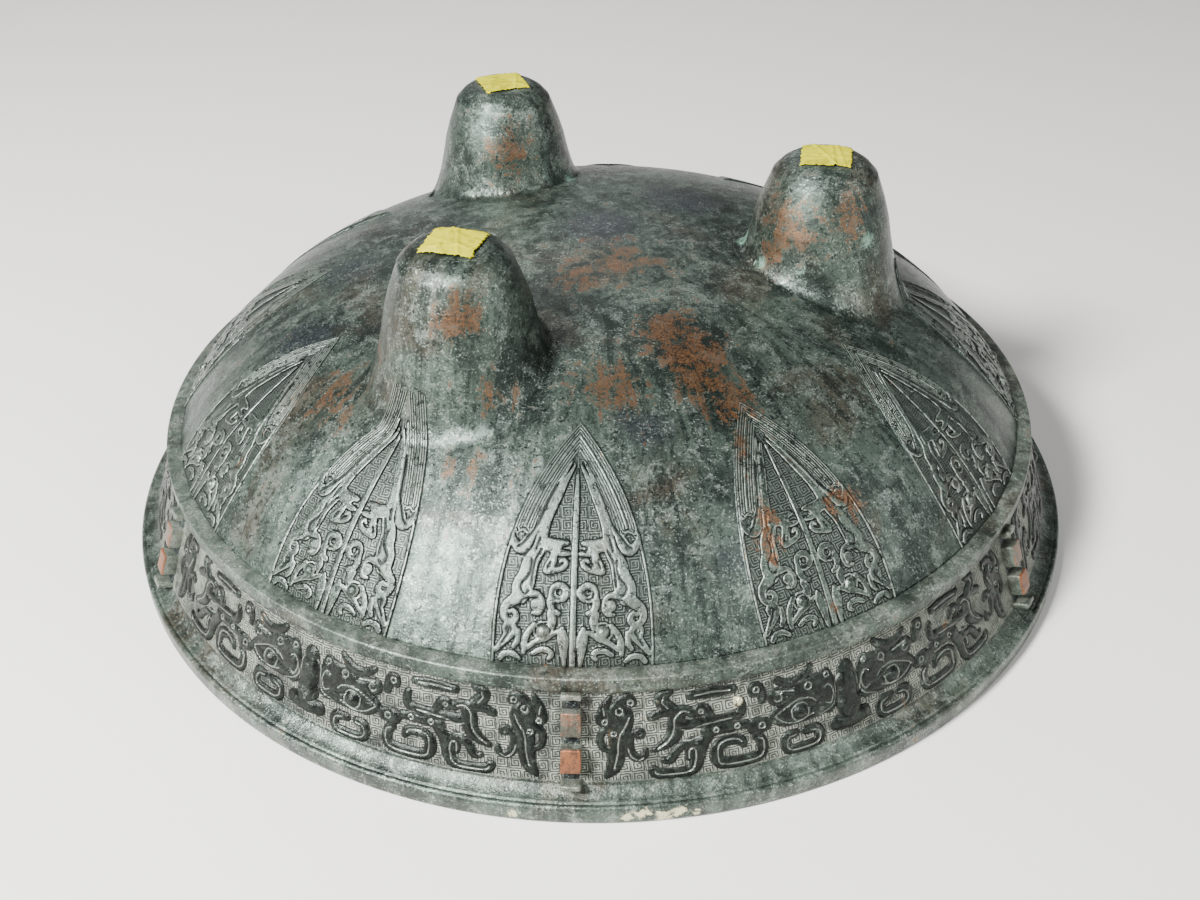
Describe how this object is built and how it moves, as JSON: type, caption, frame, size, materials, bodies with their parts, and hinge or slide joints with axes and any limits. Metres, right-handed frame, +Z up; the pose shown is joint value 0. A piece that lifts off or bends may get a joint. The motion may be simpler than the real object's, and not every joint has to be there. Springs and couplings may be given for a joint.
{
  "type": "bronze ding vessel",
  "caption": "Shallow round cast bronze vessel resting mouth down on its rim, with short blunt legs up, a flanged frieze of masks and dragons, and upright blades over the bowl.",
  "frame": {"origin": "on the floor, in the middle of the rim that the vessel rests on, mouth down", "axes": "+Z up along the bowl's axis from the mouth to the legs, -Y to the front, where one flange stands; one leg is on +X"},
  "size_m": [0.46, 0.46, 0.1773],
  "materials": {
    "patinated_bronze": "cast bronze, dark green and grey patina with red-brown patches, satin where handled",
    "yellow_tape": "yellow cloth tape, matt, creased, with frayed edges"
  },
  "bodies": {
    "root": {"vessel": "patinated_bronze", "leg_pad_1": "yellow_tape", "leg_pad_2": "yellow_tape", "leg_pad_3": "yellow_tape"}
  },
  "joints": []
}
